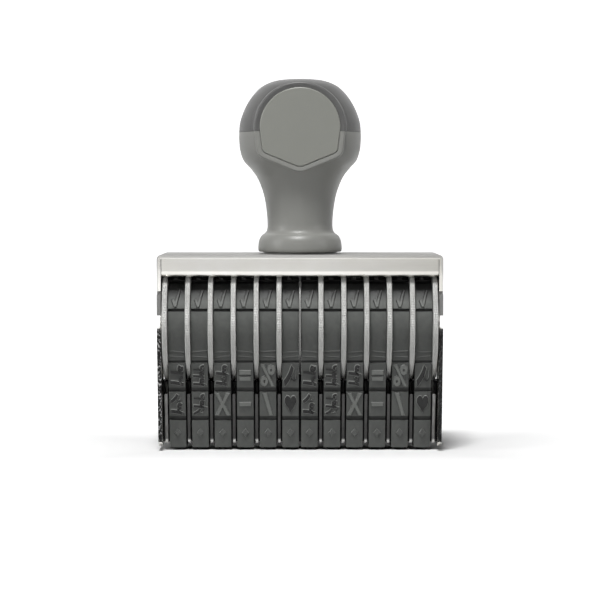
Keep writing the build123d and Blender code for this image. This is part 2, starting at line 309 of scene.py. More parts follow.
punched = Finish("punched_strip", {"Metallic": 1.0})
stained = punched.grain(1.2)
punched.varied(
    base_color=punched.between(stained, (0.28, 0.28, 0.274), (0.19, 0.19, 0.186)),
    roughness=0.6 + stained * 0.1,
    relief=punched.grain(0.2, (1, 5, 5)),
    depth=0.005,
)
# The washer is thickened, so that no light falls through between it and the bands beside it
washer_thickening = 1.45
divider = softened("divider_washer", 0.05, 1)
for vert in divider.vertices:
    vert.co.x *= washer_thickening
laid("divider_punched", divider, punched, "stamp", "divider_washer")

# ------------------------------------------------------------------------------------ setting wheels
# Each wheel is a black moulded drum that grips the band, with a steel thumb disc pressed on its
# hexagonal end. The disc's sides are ground, its corners are turned off, and its rim is rolled with
# a fine straight knurl that the thumb pushes.

wheel_count = 12
axle_height = 29.5
disc_radius, disc_thickness = 13.9, 1.15
corner_turned, lane_width = 0.18, 0.72
hexagon_across_flats = 7.04
tooth_height, tooth_count = 0.07, 232
rim_radius = disc_radius - tooth_height

drum_grip = Finish("drum_plastic", {"Specular IOR Level": 0.4})
drum_grip.varied(
    base_color=drum_grip.between(drum_grip.grain(0.8), (0.018, 0.018, 0.019), (0.032, 0.032, 0.033)),
    roughness=0.45 + drum_grip.grain(0.3) * 0.2,
    relief=drum_grip.grain(0.2),
    depth=0.01,
)


def skinned(skin, loops):
    """Joins closed loops of points, one after another, by rings of faces."""
    for low, high in zip(loops, loops[1:]):
        for step in range(len(low)):
            skin.faces.new((low[step - 1], low[step], high[step], high[step - 1]))


def ring(skin, radius, x, count, start=0.0):
    """A loop of points round the X axis."""
    turns = [start + 2 * pi * step / count for step in range(count)]
    return [skin.verts.new(Vector((x, radius * cos(turn), radius * sin(turn))) * mm) for turn in turns]


def disc_blank(steps=120):
    """The disc without its knurl, about its own centre."""
    blank = bmesh.new()
    half = disc_thickness / 2
    outline = [
        (rim_radius - corner_turned, -half),
        (rim_radius - corner_turned * 0.3, -half * 0.86),
        (rim_radius, -lane_width / 2),
    ]
    outline += [(radius, -x) for radius, x in reversed(outline)]
    rims = [ring(blank, radius, x, steps) for radius, x in outline]
    hexagon = hexagon_across_flats / 2 / cos(pi / 6)
    holes = [ring(blank, hexagon, x, 6, pi / 6) for x in (-half, half)]
    skinned(blank, rims)
    skinned(blank, holes[::-1])
    for loops in ((rims[0], holes[0]), (rims[-1], holes[1])):
        edges = [blank.edges.get((loop[step - 1], loop[step])) for loop in loops for step in range(len(loop))]
        bmesh.ops.triangle_fill(blank, edges=edges, use_beauty=True)
    bmesh.ops.recalc_face_normals(blank, faces=blank.faces)
    return mesh_of(blank, "disc_blank")


def knurl_tooth():
    """One ridge of the knurl: up is away from the axle, and its foot is sunk in the rim."""
    half_width = 0.94 * pi * rim_radius / tooth_count
    half_length, end_slope, sunk = lane_width / 2 + 0.05, 0.35, 0.05
    section = [(-half_width, -sunk), (-half_width, 0), (-half_width * 0.25, tooth_height)]
    section += [(-y, z) for y, z in reversed(section)]
    tooth = bmesh.new()
    ends = []
    for end in (-1, 1):
        places = [(end * (half_length - end_slope * max(z, 0)), y, z) for y, z in section]
        ends.append([tooth.verts.new(Vector(place) * mm) for place in places])
    skinned(tooth, ends)
    for end in ends:
        tooth.faces.new(end)
    bmesh.ops.recalc_face_normals(tooth, faces=tooth.faces)
    mesh = mesh_of(tooth, "knurl_tooth")
    lane = mesh.attributes.new("lane", "FLOAT", "FACE")
    for face in lane.data:
        face.value = 1.0
    return bpy.data.objects.new("knurl_tooth", mesh)


class Jig(Net):
    """A net of nodes that makes a repeated or bent shape, with named inputs for its sizes."""

    def __init__(self, name, inputs):
        super().__init__(bpy.data.node_groups.new(name, "GeometryNodeTree"))
        self.names = {}
        sockets = self.tree.interface
        for label, kind in {"Blank": "Geometry", **inputs}.items():
            socket = sockets.new_socket(label, in_out="INPUT", socket_type="NodeSocket" + kind)
            self.names[label] = socket.identifier
        sockets.new_socket("Made", in_out="OUTPUT", socket_type="NodeSocketGeometry")
        self.inputs = self.tree.nodes.new("NodeGroupInput").outputs
        self.made = self.tree.nodes.new("NodeGroupOutput").inputs

    def given(self, label):
        """A size or a shape that the jig is given."""
        return Tone(self, self.inputs[label])

    def ends(self, shape):
        """Makes the copies real and gives them their material."""
        shape = self.node("GeometryNodeRealizeInstances", {}, {0: shape})
        dressed = {"Geometry": shape, "Material": self.given("Finish")}
        self.plug(self.made[0], self.node("GeometryNodeSetMaterial", {}, dressed))

    def applied(self, blank, sizes, smooth_angle):
        """The mesh that the jig makes of a blank."""
        carrier = linked("carrier", blank)
        step = carrier.modifiers.new("jig", "NODES")
        step.node_group = self.tree
        for label, value in sizes.items():
            step[self.names[label]] = value
        return as_mesh(carrier, smooth_angle)


knurling = Jig(
    "knurling",
    {
        "Tooth": "Object", "Teeth": "Int", "Rim Radius": "Float",
        "Turn": "Float", "Centre": "Vector", "Finish": "Material",
    },  # fmt: skip
)
given = knurling.given
circle = {"Vertices": given("Teeth"), "Radius": given("Rim Radius")}
circle = knurling.node("GeometryNodeMeshCircle", {}, circle)
circle = knurling.node("GeometryNodeTransform", {}, {"Geometry": circle, "Rotation": (0, pi / 2, 0)})
away = knurling.node("GeometryNodeInputPosition", {}, {})
upright = {"axis": "Z", "pivot_axis": "X"}
upright = knurling.node("FunctionNodeAlignRotationToVector", upright, {"Vector": away})
tooth = knurling.node("GeometryNodeObjectInfo", {}, {"Object": given("Tooth")}, "Geometry")
teeth = {"Points": circle, "Instance": tooth, "Rotation": upright}
teeth = knurling.node("GeometryNodeInstanceOnPoints", {}, teeth)
disc = knurling.node("GeometryNodeJoinGeometry", {}, {0: [given("Blank"), teeth]})
turn = knurling.node("ShaderNodeCombineXYZ", {}, {"X": given("Turn")})
placed = {"Geometry": disc, "Rotation": turn, "Translation": given("Centre")}
knurling.ends(knurling.node("GeometryNodeTransform", {}, placed))

disc_steel = Finish("disc_steel", {"Metallic": 1.0})
ground = disc_steel.grain(0.25, (1, 5, 5), detail=5)
oiled = disc_steel.ramp(disc_steel.grain(2.2, detail=5), (0.4, 0), (0.75, 1))
bright = disc_steel.between(oiled, (0.5, 0.505, 0.49), (0.42, 0.425, 0.41))
disc_steel.varied(
    base_color=disc_steel.between(disc_steel.marked("lane"), bright, (0.38, 0.38, 0.37)),
    roughness=0.5 + ground * 0.12 + oiled * 0.1,
    relief=ground,
    depth=0.006,
)

tooth_shape = knurl_tooth()
for number in range(1, wheel_count + 1):
    finished(f"drum_{number:02d}", drum_grip)
    node = f"disc_{number:02d}"
    low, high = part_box(node)
    sizes = {
        "Tooth": tooth_shape,
        "Teeth": tooth_count,
        "Rim Radius": rim_radius * mm,
        "Turn": 0.004 * (number * 5 % wheel_count),
        "Centre": ((low.x + high.x) / 2, 0.0, axle_height * mm),
        "Finish": disc_steel.material,
    }
    disc = knurling.applied(disc_blank(), sizes, 25)
    laid(node + "_knurled", disc, disc_steel, f"wheel_{number:02d}", node)

# ------------------------------------------------------------------------------------ type bands
# A band is a strip of black vulcanised rubber, moulded flat with its type blocks and signs on it and
# cemented into a loop, with a rough joint on the plain stretch. It is pulled over the drum and bends
# round the platen. Signs stand mirrored, so that they print the right way round.

drum_radius, band_gap = 10.4, 0.2
band_width, band_base, type_height = 3.8, 0.8, 0.9
type_blocks, front_blocks, groove_width = 13, 3, 0.9
block_height, block_corner, block_side, block_end = 0.58, 0.1, 0.03, 0.08
plain_height, plain_length, plain_corner, plain_side = 0.4, 11.1, 0.1, 0.015
base_corner, sunk = 0.12, 0.05
platen_half_depth, platen_corner, platen_gap = 3.75, 0.55, 0.05

band_inner_radius = drum_radius + band_gap
corner_radius = platen_corner + platen_gap
corner_offset = platen_half_depth - platen_corner
corner_height = band_base + type_height + corner_radius
centre_rise = axle_height - corner_height
centre_distance = hypot(corner_offset, centre_rise)
lean = asin((band_inner_radius - corner_radius) / centre_distance)
tilt = lean - atan2(corner_offset, centre_rise)
run_length = (centre_distance**2 - (band_inner_radius - corner_radius) ** 2) ** 0.5
neutral = band_base / 2
corner_end = corner_offset + (corner_radius + neutral) * (pi / 2 - tilt)
run_end = corner_end + run_length
half_loop = run_end + (band_inner_radius + neutral) * (pi / 2 + tilt)
band_loop = 2 * half_loop
type_pitch = (band_loop - plain_length) / type_blocks
plain_start = (front_blocks + 0.5) * type_pitch
plain_end = plain_start + plain_length


def band_point(distance):
    """Point on the middle of the band's base, from the middle of the platen up the front."""
    along = min(distance, band_loop - distance)
    if along <= corner_offset:
        y, z = -along, corner_height - corner_radius - neutral
    elif along <= corner_end:
        angle = 1.5 * pi - (along - corner_offset) / (corner_radius + neutral)
        y = -corner_offset + (corner_radius + neutral) * cos(angle)
        z = corner_height + (corner_radius + neutral) * sin(angle)
    elif along <= run_end:
        share = (along - corner_end) / run_length
        radius = corner_radius + share * (band_inner_radius - corner_radius) + neutral
        y = -corner_offset * (1 - share) + radius * cos(pi + tilt)
        z = corner_height + share * centre_rise + radius * sin(pi + tilt)
    else:
        angle = pi + tilt - (along - run_end) / (band_inner_radius + neutral)
        y = (band_inner_radius + neutral) * cos(angle)
        z = axle_height + (band_inner_radius + neutral) * sin(angle)
    return (0.0, y if distance <= half_loop else -y, z)


def stations(start, end, corner_step=0.16, drum_step=0.55, run_step=0.9):
    """Places along the band, close together where it bends."""
    spots, along = [start], start
    while along < end - 0.01:
        here = min(along % band_loop, band_loop - along % band_loop)
        if corner_offset - 0.3 < here < corner_end:
            along += corner_step
        else:
            along += drum_step if here > run_end - 0.5 else run_step
        along = min(along, end)
        spots.append(along)
    return spots


def slab(rubber, places, bottom, top, corner, side=0.0):
    """A strip of rubber across the band, laid flat through some places, with its upper corners rounded."""
    half = band_width / 2 - side
    section = [
        (-half, bottom), (-half, top - corner),
        (-half + corner * 0.3, top - corner * 0.3), (-half + corner, top),
    ]  # fmt: skip
    section += [(-x, z) for x, z in reversed(section)]
    loops = [[rubber.verts.new(Vector((x, place, z)) * mm) for x, z in section] for place in places]
    skinned(rubber, loops)
    return loops


def closed(rubber, loops, inset=0.0, drop=0.0):
    """Closes both ends of a slab and draws their upper points in or down."""
    for end, loop in ((-1, loops[0]), (1, loops[-1])):
        rubber.faces.new(loop)
        for vert in loop[1:-1]:
            vert.co.y -= end * inset * mm
            vert.co.z -= drop * mm


path_steps = 480
path = bpy.data.curves.new("band_path", "CURVE")
path.dimensions = "3D"
line = path.splines.new("POLY")
line.points.add(path_steps - 1)
for step, point in enumerate(line.points):
    point.co = (*(Vector(band_point(band_loop * step / path_steps)) * mm), 1)
line.use_cyclic_u = True
band_path = bpy.data.objects.new("band_path", path)

# Round the loop: what is laid flat, with its length along Y, is bent to follow the path
banding = Jig(
    "banding",
    {
        "Path": "Object", "Block": "Object", "Blocks": "Int", "First": "Float", "Pitch": "Float",
        "Middle": "Float", "Edge Radius": "Float", "Edge Height": "Float", "Finish": "Material",
    },  # fmt: skip
)
given = banding.given
first = banding.node("ShaderNodeCombineXYZ", {}, {"Y": given("First")})
pitch = banding.node("ShaderNodeCombineXYZ", {}, {"Y": given("Pitch")})
row = {"Count": given("Blocks"), "Start Location": first, "Offset": pitch}
row = banding.node("GeometryNodeMeshLine", {"mode": "OFFSET"}, row)
block = banding.node("GeometryNodeObjectInfo", {}, {"Object": given("Block")}, "Geometry")
blocks = banding.node("GeometryNodeInstanceOnPoints", {}, {"Points": row, "Instance": block})
blocks = banding.node("GeometryNodeRealizeInstances", {}, {0: blocks})
flat = banding.node("GeometryNodeJoinGeometry", {}, {0: [given("Blank"), blocks]})
laid_at = banding.node("GeometryNodeInputPosition", {}, {})
across = banding.node("ShaderNodeSeparateXYZ", {}, {0: laid_at}, "X")
up = across.beside("Z")

route = banding.node("GeometryNodeObjectInfo", {}, {"Object": given("Path")}, "Geometry")
loop_length = banding.node("GeometryNodeCurveLength", {}, {0: route})
spot = {"Curves": route, "Length": across.beside("Y") % loop_length}
spot = banding.node("GeometryNodeSampleCurve", {"mode": "LENGTH"}, spot, "Position")
outward = {0: (1, 0, 0), 1: spot.beside("Tangent")}
outward = banding.node("ShaderNodeVectorMath", {"operation": "CROSS_PRODUCT"}, outward)

# A block is stiffer than the band. Where the band bends round the platen, the block keeps the flat
# faces of the straight run and of the foot, and they meet in an edge
front_or_back = banding.node("ShaderNodeVectorMath", {"operation": "ABSOLUTE"}, {0: outward})
facing = []
for face in ((0, cos(tilt), sin(tilt)), (0, 0, 1)):
    pair = {0: front_or_back, 1: face}
    facing.append(banding.node("ShaderNodeVectorMath", {"operation": "DOT_PRODUCT"}, pair, "Value"))
squared = (1.0 / facing[0].or_larger(facing[1]) - 1.0) * given("Edge Radius")
spot_height = banding.node("ShaderNodeSeparateXYZ", {}, {0: spot}, "Z")
stiff = banding.rising(up, neutral * mm, (neutral + block_height - block_corner) * mm)
raised = up + squared * ((spot_height < given("Edge Height")) * stiff)

lift = banding.node("ShaderNodeVectorMath", {"operation": "SCALE"}, {0: outward, "Scale": raised})
aside = banding.node("ShaderNodeCombineXYZ", {}, {"X": across + given("Middle")})
place = banding.node("ShaderNodeVectorMath", {"operation": "ADD"}, {0: spot, 1: lift})
place = banding.node("ShaderNodeVectorMath", {"operation": "ADD"}, {0: place, 1: aside})
flat = banding.node("GeometryNodeStoreNamedAttribute", {}, {"Geometry": flat, "Name": "lift", "Value": up})
bent = banding.node("GeometryNodeSetPosition", {}, {"Geometry": flat, "Position": place})
# The two ends of the strip meet, and their points are welded
welded = {"Geometry": bent, "Distance": 0.002 * mm}
banding.ends(banding.node("GeometryNodeMergeByDistance", {}, welded))


def type_block(steps=14):
    """One type block, about the middle of its foot, which is sunk in the base."""
    block = bmesh.new()
    length = type_pitch - groove_width
    places = [-length / 2 + length * step / steps for step in range(steps + 1)]
    loops = slab(block, places, neutral - sunk, neutral + block_height, block_corner, block_side)
    closed(block, loops, inset=block_end)
    bmesh.ops.recalc_face_normals(block, faces=block.faces)
    return bpy.data.objects.new("type_block", mesh_of(block, "type_block"))


# Signs. A number is cut lower than the other signs and has wider flanks
sign_sunk, sign_draft, number_draft = 0.06, 0.28, 0.42
sign_foot, sign_top = neutral + block_height - sign_sunk, neutral + type_height
number_rise, zero_rise, heart_rise = 0.85, 0.93, 0.8


def fitted(sign, width, height, rise=1.0, draft=sign_draft):
    """Centres a sign in a box on the block and widens its foot, as a mould needs it."""
    low = [min(vert.co[axis] for vert in sign.verts) for axis in range(3)]
    high = [max(vert.co[axis] for vert in sign.verts) for axis in range(3)]
    for vert in sign.verts:
        x, y, z = ((vert.co[axis] - low[axis]) / (high[axis] - low[axis]) for axis in range(3))
        lift = z * rise * (sign_top - sign_foot)
        vert.co = Vector(((x - 0.5) * width, (y - 0.5) * height, sign_foot + lift))
    bmesh.ops.recalc_face_normals(sign, faces=sign.faces)
    sign.normal_update()
    for vert in sign.verts:
        if vert.co.z < sign_foot + 0.01:
            vert.co.xy += vert.normal.xy.normalized() * draft
    # Cut across at every millimetre, so that the sign can bend with its band
    for cut in range(1, ceil(height)):
        whole = [*sign.verts, *sign.edges, *sign.faces]
        bmesh.ops.bisect_plane(sign, geom=whole, plane_co=(0, cut - height / 2, 0), plane_no=(0, 1, 0))
    bmesh.ops.recalc_face_normals(sign, faces=sign.faces)
    bmesh.ops.scale(sign, verts=sign.verts, vec=(mm, mm, mm))
    return mesh_of(sign, "sign")


def cut_sign(outline, width, height, rise=1.0):
    """A sign from an outline of its own drawing."""
    sign = bmesh.new()
    face = sign.faces.new([sign.verts.new((x, y, 0)) for x, y in outline])
    for raised in bmesh.ops.extrude_face_region(sign, geom=[face])["geom"]:
        if isinstance(raised, bmesh.types.BMVert):
            raised.co.z = 1
    return fitted(sign, width, height, rise)


def font_sign(words, width, height, quarter_turn=False):
    """A sign or number set in the built-in typeface, mirrored for printing."""
    text = bpy.data.curves.new("sign", "FONT")
    text.body, text.resolution_u, text.offset, text.extrude = words, 2, 0.022, 0.5
    sign = bmesh.new()
    sign.from_mesh(as_mesh(linked("sign", text)))
    bmesh.ops.remove_doubles(sign, verts=sign.verts, dist=0.0005)
    if quarter_turn:
        bmesh.ops.rotate(sign, verts=sign.verts, matrix=Matrix.Rotation(pi / 2, 3, "Z"))
    bmesh.ops.scale(sign, verts=sign.verts, vec=(-1, 1, 1))
    rise, draft = (number_rise, number_draft) if quarter_turn else (1.0, sign_draft)
    return fitted(sign, width, height, rise, draft)


def heart_side(steps=9):
    """The right side of a heart, from the notch down to the tip."""
    side = []
    for turn in [pi * step / steps for step in range(steps + 1)]:
        y = 13 * cos(turn) - 5 * cos(2 * turn) - 2 * cos(3 * turn) - cos(4 * turn)
        side.append((sin(turn) ** 3 / 2, y / 29))
    return side


def figures(number):
    """A number in Persian figures."""
    return "".join(chr(0x6F0 + int(digit)) for digit in number)


heart = heart_side()
heart += [(-x, y) for x, y in reversed(heart[1:-1])]
tick = [(-1, 0.1), (-0.7, 0.4), (-0.25, -0.25), (0.1, 0.9), (0.65, 2), (1, 2.1)]
tick += [(0.5, 0.7), (0, -1), (-0.5, -1)]
signs = {
    "tick": cut_sign(tick, 1.9, 3.7),
    "zero": cut_sign([(-1, 0), (0, -1.25), (1, 0), (0, 1.25)], 1.3, 1.7, zero_rise),
    "heart": cut_sign(heart, 2.5, 4.0, heart_rise),
    "bar": cut_sign([(-1, -1), (1, -1), (1, 1), (-1, 1)], 2.5, 0.75),
    "X": font_sign("X", 3.2, 5.1),
    "=": font_sign("=", 2.5, 2.3),
    "%": font_sign("%", 3.2, 5.0),
    "/": font_sign("/", 2.2, 5.2),
}
for digit in "123456789":
    signs[digit] = font_sign(figures(digit), 1.2 if digit == "1" else 3.2, 5.3)
for number in ("24", "342", "43", "6", "36", "632"):
    signs[number] = font_sign(figures(number), 2.9, 4.9, quarter_turn=True)
front_signs = [("36", "24"), ("632", "342"), ("X", "43"), ("bar", "="), ("/", "%"), ("heart", "6")]
tick_drop = 0.7

# Across the plain stretch lie the joint's two low beads of cement, which wander a little
bead_height, bead_corner, bead_side, bead_wander = 0.1, 0.08, 0.15, 0.22
bead_places, bead_section = (0.9, 2.1), (-0.16, -0.05, 0.07, 0.18)


def band_strip(number):
    """One band laid flat, but for its blocks: the base, the plain stretch, the joint and every sign."""
    strip = bmesh.new()
    slab(strip, stations(0, band_loop), -neutral, neutral, base_corner)
    plain = stations(plain_start, plain_end)
    plain = slab(strip, plain, neutral - sunk, neutral + plain_height, plain_corner, plain_side)
    closed(strip, plain, inset=plain_corner)
    for bead, place in enumerate(bead_places):
        places = [plain_start + place + share for share in bead_section]
        loops = slab(strip, places, neutral, neutral + plain_height + bead_height, bead_corner, bead_side)
        closed(strip, loops, drop=bead_height)
        for vert in [vert for loop in loops for vert in loop]:
            wander = sin(vert.co.x / mm * (0.9 + 0.3 * bead) + number * 2.1 + bead)
            vert.co.y += bead_wander * mm * wander
    bmesh.ops.recalc_face_normals(strip, faces=strip.faces)
    lower, upper = front_signs[(number - 1) % len(front_signs)]
    for cell, sign in enumerate(["tick", *"123456789", "zero", lower, upper]):
        start = len(strip.verts)
        strip.from_mesh(signs[sign])
        strip.verts.ensure_lookup_table()
        middle = plain_end + (cell + 0.5) * type_pitch - (tick_drop if sign == "tick" else 0)
        bmesh.ops.translate(strip, verts=strip.verts[start:], vec=(0, middle * mm, 0))
    return mesh_of(strip, "band_strip")


rubber = Finish("band_rubber", {"Specular IOR Level": 0.45})
dusty = rubber.ramp(rubber.grain(1.6, detail=6), (0.42, 0), (0.72, 1))
mould = rubber.grain(0.16, detail=3)
lift = rubber.marked("lift") / mm
above_base = lift - neutral
# Dust lies in patches. Painted shade, by height: darkest level with the discs' lower half, lighter
# towards the top, and a painted shadow under the flange. The grooves are dark too
body_tone = rubber.between(dusty, (0.14, 0.147, 0.139), (0.175, 0.182, 0.172))
painted_height_shade = ((0.1, 0.62), (0.3, 0.57), (0.45, 0.4), (0.6, 0.46), (0.75, 0.78), (0.9, 1))
body_tone = rubber.between(rubber.ramp(rubber.height(0, 40), *painted_height_shade), (0.03, 0.031, 0.03), body_tone)
body_tone = rubber.between(rubber.ramp(lift, (0.45, 1), (0.7, 0)), body_tone, (0.03, 0.031, 0.03))
# Painted shade round a sign's foot and on a low sign's top, painted highlight on flanks and high tops
painted_relief_shade = rubber.ramp(above_base, (0.59, 0), (0.62, 1))
painted_relief_shade = rubber.between(painted_relief_shade, body_tone, (0.009, 0.009, 0.009))
painted_relief_light = rubber.ramp(above_base, (0.63, 0), (0.66, 1), (0.78, 1), (0.8, 0), (0.85, 0), (0.89, 1))
painted_relief = rubber.between(painted_relief_light, painted_relief_shade, (0.19, 0.197, 0.187))
# Painted shadow of the flange: above these heights the band turns nearly black
painted_flange_shadow = rubber.ramp(rubber.height(33.9, 36), (0, 0), (1, 0.94))
rubber.varied(
    base_color=rubber.between(painted_flange_shadow, painted_relief, (0.008, 0.008, 0.008)),
    roughness=0.52 + dusty * 0.14 + mould * 0.08,
    relief=mould + rubber.grain(0.7, (3, 1, 1)) * 1.2,
    depth=0.02,
)

block_shape = type_block()
for number in range(1, wheel_count + 1):
    node = f"band_{number:02d}"
    low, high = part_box(node)
    sizes = {
        "Path": band_path,
        "Block": block_shape,
        "Blocks": type_blocks,
        "First": (plain_end + type_pitch / 2) * mm,
        "Pitch": type_pitch * mm,
        "Middle": (low.x + high.x) / 2,
        "Edge Radius": (corner_radius + band_base + block_height) * mm,
        "Edge Height": corner_height * mm,
        "Finish": rubber.material,
    }
    band = banding.applied(band_strip(number), sizes, 40)
    laid(node + "_type", band, rubber, "stamp", node)

# ------------------------------------------------------------------------------------ platen
# The platen is a tall bar of drawn aluminium that backs the type while it prints and reaches up to the
# discs. Its black is painted shade, for the deep shade between the bands. Its tenons are riveted in the
# side plates and filed flush, so their ends are bare, and its slots hold the separators.

seat_height, seat_lift = 15.0, 0.22
rib_half_width, rib_half_depth, rib_foot, rib_edge = 0.25, 2.4, 15.2, 0.08
rib_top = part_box("divider_washer")[0].z / mm - 0.1

drawn = Finish("drawn_aluminium", {"Specular IOR Level": 0.2})
draw_lines = drawn.grain(0.18, (80, 1, 1), detail=4)
# Painted shade: the bar is near black, for the deep shade between the bands
painted_shade_black = drawn.between(drawn.grain(2.5), (0.025, 0.025, 0.026), (0.016, 0.016, 0.017))
riveted = abs(drawn.place("X")) > side_plate_outside * mm
drawn.varied(
    base_color=drawn.between(riveted, painted_shade_black, (0.5, 0.5, 0.495)),
    metallic=riveted,
    roughness=0.5 + draw_lines * 0.16,
    relief=draw_lines,
    depth=0.01,
)


def raised_to_discs(mesh):
    """Lifts the seats below the discs, so that they stand a hair below the rims."""
    for vert in mesh.vertices:
        if vert.co.z > seat_height * mm:
            vert.co.z += seat_lift * mm
    return mesh


def with_shade_rib(mesh):
    """Adds the rib that fills the gap of the two middle bands below the divider: a black piece put there as
    painted shade.
    """
    bar = bmesh.new()
    bar.from_mesh(mesh)
    size = Matrix.Diagonal((2 * rib_half_width * mm, 2 * rib_half_depth * mm, (rib_top - rib_foot) * mm, 1))
    place = Matrix.Translation((0, 0, (rib_foot + rib_top) / 2 * mm))
    rib = bmesh.ops.create_cube(bar, size=1, matrix=place @ size)["verts"]
    edges = {edge for vert in rib for edge in vert.link_edges}
    bmesh.ops.bevel(bar, geom=list(edges), offset=rib_edge * mm, segments=2, affect="EDGES")
    bar.to_mesh(mesh)
    bar.free()
    return mesh


platen = with_shade_rib(raised_to_discs(softened("platen", 0.08)))
laid("platen_drawn", platen, drawn, "stamp", "platen")

# ------------------------------------------------------------------------------------ separators
# Twelve sheared strips of blackened steel keep the bands in their lanes. Each straddles the platen,
# its tongue in a slot right below a thumb disc. The bevelled feet are ground bright.

strip_steel = Finish("strip_steel", {"Specular IOR Level": 0.25})
burred = strip_steel.grain(0.14, (1, 3, 14), detail=4)
black_part = strip_steel.height(2.2, 2.7)
outermost = abs(strip_steel.place("X")) > 29 * mm
blackened = strip_steel.between(strip_steel.grain(1.4), (0.11, 0.11, 0.108), (0.06, 0.06, 0.059))
blackened = strip_steel.between(outermost * strip_steel.grain(0.6, (1, 1, 4)), blackened, (0.5, 0.5, 0.49))
strip_steel.varied(
    base_color=strip_steel.between(black_part, (0.6, 0.6, 0.585), blackened),
    metallic=1.0 - black_part,
    roughness=0.4 + burred * 0.2,
    relief=burred,
    depth=0.012,
)
for number in range(1, wheel_count + 1):
    node = f"separator_{number:02d}"
    laid(node + "_sheared", raised_to_discs(softened(node, 0.09)), strip_steel, "stamp", node)

# ------------------------------------------------------------------------------------ handle
# The palm handle is moulded in two shells: a light grey body, screwed to the frame from below, and a
# darker cap that plugs on top. A raised bezel for the badge crosses the parting line of the two,
# and its cove falls inward to the badge's foot.

frame_top, parting_height, parting_gap = 44.5, 27.6, 0.06
outline = [
    (8.4, 0.0), (8.42, 0.4), (9.2, 0.45), (9.42, 0.58), (9.52, 0.9), (9.55, 1.5), (9.47, 2.4), (9.22, 3.4),
    (8.7, 4.2), (8.0, 4.7), (7.6, 5.25), (7.45, 6.0), (7.42, 7.0), (7.55, 9.0), (7.92, 11.8), (8.55, 14.4),
    (9.7, 17.2), (11.2, 19.3), (12.5, 20.7), (13.15, 21.8), (13.66, 23.6), (13.86, 25.6), (13.88, 27.0),
    (13.76, 29.2), (13.3, 31.1), (12.2, 33.7), (10.5, 36.2), (8.3, 38.2), (5.0, 39.4), (0.0, 39.7),
]  # fmt: skip
badge_half_width, arch_height, badge_top = 9.0, 28.3, 37.35
shoulder_half_width, shoulder_height, tip_height = 8.35, 22.9, 19.5
shoulder_round, tip_round = 1.4, 2.6
bezel_width, bezel_face, bezel_round = 1.25, 11.3, 0.4
flare, flare_depth, cove_depth, crown_share = 0.9, 5.0, 2.6, 0.8
badge_face, badge_back, badge_edge = 11.4, 10.1, 0.2
cap_groove = [(-0.52, 0.02), (-0.66, 0.06), (-0.82, 0.12), (-0.98, 0.17), (-1.1, 0.2)]
body_groove = [(-0.98, 0.02), (-1.12, 0.06), (-1.19, 0.14), (-1.2, 0.3)]


def turned_profile(steps=6):
    """The outline smoothed between its knots, up to the small flat face that closes the top."""
    points = []
    last = len(outline) - 1
    for here in range(last):
        p0, p1, p2, p3 = (Vector(outline[min(max(here + k, 0), last)]) for k in (-1, 0, 1, 2))
        if here + 2 > last:
            p3 = Vector((-p1.x, p1.y))
        bow, swing = 2 * p0 - 5 * p1 + 4 * p2 - p3, 3 * p1 - p0 - 3 * p2 + p3
        for t in [step / steps for step in range(steps)]:
            points.append(0.5 * (2 * p1 + (p2 - p0) * t + bow * t * t + swing * t**3))
    return points[:-1]


def shield_edge(arch_steps=48, round_steps=8):
    """The badge's outline seen from the front, an arch over two sides and a blunt tip: its points,
    each with the direction that leads outward."""
    rise = badge_top - arch_height
    arch_radius = (badge_half_width**2 + rise**2) / (2 * rise)
    arch_middle = badge_top - arch_radius
    reach = pi / 2 - atan2(arch_height - arch_middle, badge_half_width)
    points = []
    for step in range(arch_steps + 1):
        angle = pi / 2 - reach + 2 * reach * step / arch_steps
        outward = (cos(angle), sin(angle))
        points.append((outward, (arch_radius * outward[0], arch_middle + arch_radius * outward[1])))
    corners = [(-badge_half_width, arch_height), (-shoulder_half_width, shoulder_height), (0, tip_height)]
    corners += [(-x, z) for x, z in reversed(corners[:2])]
    rounds = (shoulder_round, tip_round, shoulder_round)
    for before, corner, after, radius in zip(corners, corners[1:], corners[2:], rounds):
        into, out = ((Vector(b) - Vector(a)).normalized() for a, b in ((before, corner), (corner, after)))
        turn = into.angle(out)
        start = Vector(corner) - into * radius * abs(sin(turn / 2) / cos(turn / 2))
        side = Vector((-into.y, into.x))
        centre = start + side * radius
        for step in range(round_steps + 1):
            outward = Matrix.Rotation(turn * step / round_steps, 2) @ -side
            points.append((tuple(outward), tuple(centre + outward * radius)))
    return points


def shield(growth):
    """The badge's outline grown outward. Past the bezel it grows less towards the crown."""
    grown = []
    for (nx, nz), (x, z) in shield_edge():
        past_bezel = max(growth - bezel_width, 0) * (1 - crown_share * max(nz, 0))
        spread = min(growth, bezel_width) + past_bezel
        grown.append((x + spread * nx, frame_top + z + spread * nz))
    return grown


def stacked(loops):
    """A closed skin over loops of points, one after another."""
    skin = bmesh.new()
    rows = [[skin.verts.new(Vector(point) * mm) for point in loop] for loop in loops]
    skinned(skin, rows)
    for row in (rows[0], rows[-1]):
        skin.faces.new(row)
    bmesh.ops.recalc_face_normals(skin, faces=skin.faces)
    return skin


def shield_shape(profile, name):
    """A shape that follows the shield, from back to front, for a profile of growths and depths."""
    skin = stacked([[(x, -depth, z) for x, z in shield(growth)] for growth, depth in profile])
    return linked(name, mesh_of(skin, name))


def turned_grip(steps=144):
    """The turned form of body and cap, with the pocket that the bezel sits in."""
    turns = [2 * pi * (step + 0.5) / steps for step in range(steps)]
    loops = []
    for point in turned_profile():
        loops.append([(point.x * cos(turn), point.x * sin(turn), frame_top + point.y) for turn in turns])
    grip = linked("grip", mesh_of(stacked(loops), "grip"))
    pocket_growth = bezel_width - 0.15
    pocket = shield_shape([(pocket_growth, badge_back - 0.1), (pocket_growth, 20)], "pocket")
    cut = grip.modifiers.new("pocket", "BOOLEAN")
    cut.operation, cut.solver, cut.object = "DIFFERENCE", "EXACT", pocket
    mesh = as_mesh(grip)
    bpy.data.objects.remove(pocket)
    return mesh


